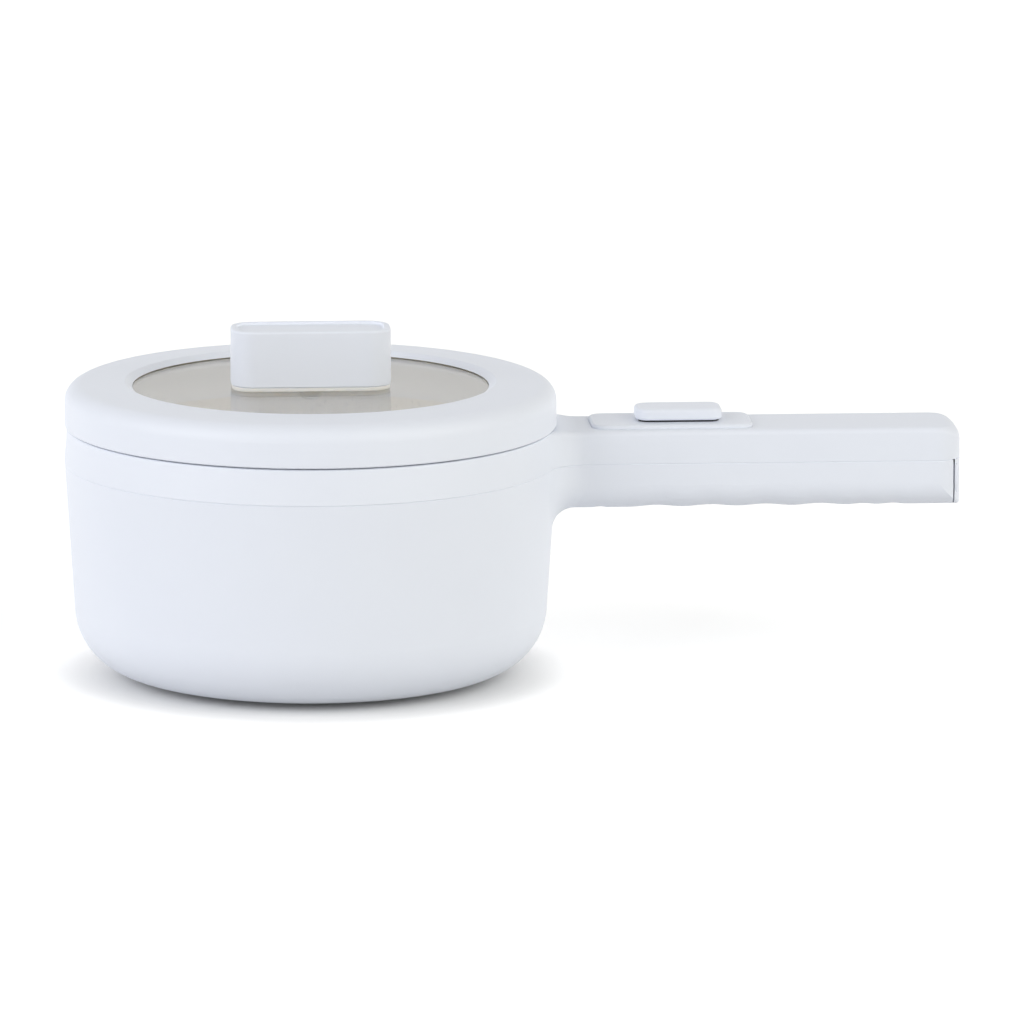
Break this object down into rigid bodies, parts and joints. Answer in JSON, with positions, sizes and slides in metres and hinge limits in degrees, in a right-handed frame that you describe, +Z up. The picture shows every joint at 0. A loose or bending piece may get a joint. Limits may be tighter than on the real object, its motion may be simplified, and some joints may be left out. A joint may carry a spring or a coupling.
{
  "type": "electric hot pot",
  "caption": "Round countertop electric pot with a non-stick inner pan, a lift-off glass lid with an oblong knob, and a long straight handle with a slide switch and a power inlet.",
  "frame": {"origin": "centre of the whole object's footprint, in the plane that the feet stand on; the pot's own axis stands at x = -0.0823 m", "axes": "+Z up, +X along the handle, away from the pot"},
  "size_m": [0.3649, 0.2004, 0.1428],
  "materials": {
    "housing_plastic": "satin moulded polypropylene",
    "knob_plastic": "satin moulded plastic",
    "base_plastic": "fine textured moulding",
    "black_plastic": "moulded",
    "tempered_glass": "clear polished",
    "silicone": "soft matte",
    "nonstick": "ceramic non-stick coat on aluminium",
    "cast_aluminium": "as cast",
    "sheet_aluminium": "rolled",
    "zinc_steel": "zinc plated",
    "stainless": "bright",
    "nickel_brass": "nickel plated",
    "brown_insulation": "silicone insulation",
    "blue_insulation": "silicone insulation",
    "white_insulation": "silicone insulation",
    "bakelite": "moulded phenolic"
  },
  "bodies": {
    "housing": {"lower_shell": "housing_plastic", "upper_shell": "housing_plastic", "end_cap": "housing_plastic", "base_cover": "base_plastic", "feet": "silicone", "base_screws": "zinc_steel", "handle_screws": "zinc_steel", "inner_pot": "nonstick", "pot_seal": "silicone", "heating_plate": "cast_aluminium", "heating_tube": "stainless", "heater_terminals": "nickel_brass", "heat_shield": "sheet_aluminium", "shield_spacer": "zinc_steel", "clamp_bar": "zinc_steel", "clamp_nut": "zinc_steel", "thermostat": "bakelite", "thermostat_strap": "zinc_steel", "thermal_fuse": "nickel_brass", "fuse_clip": "zinc_steel", "switch_plate": "housing_plastic", "switch_body": "black_plastic", "switch_screws": "zinc_steel", "power_inlet": "black_plastic", "inlet_pins": "nickel_brass", "neutral_lead": "blue_insulation", "live_lead": "brown_insulation", "switched_lead": "white_insulation", "thermostat_lead": "white_insulation", "fuse_lead": "white_insulation"},
    "switch_slider": {"switch_button": "housing_plastic", "switch_carriage": "black_plastic"},
    "lid": {"lid_rim": "housing_plastic", "lid_under_ring": "base_plastic", "lid_glass": "tempered_glass", "glass_gasket": "silicone", "lid_knob": "knob_plastic", "knob_pad": "silicone", "knob_washer": "stainless", "knob_screw": "stainless"}
  },
  "joints": [
    {"name": "lid_lift", "type": "slide", "parent": "housing", "child": "lid", "axis": [0, 0, 1], "range_m": [0, 0.12]},
    {"name": "switch_slide", "type": "slide", "parent": "housing", "child": "switch_slider", "axis": [1, 0, 0], "range_m": [-0.005, 0.005]}
  ]
}
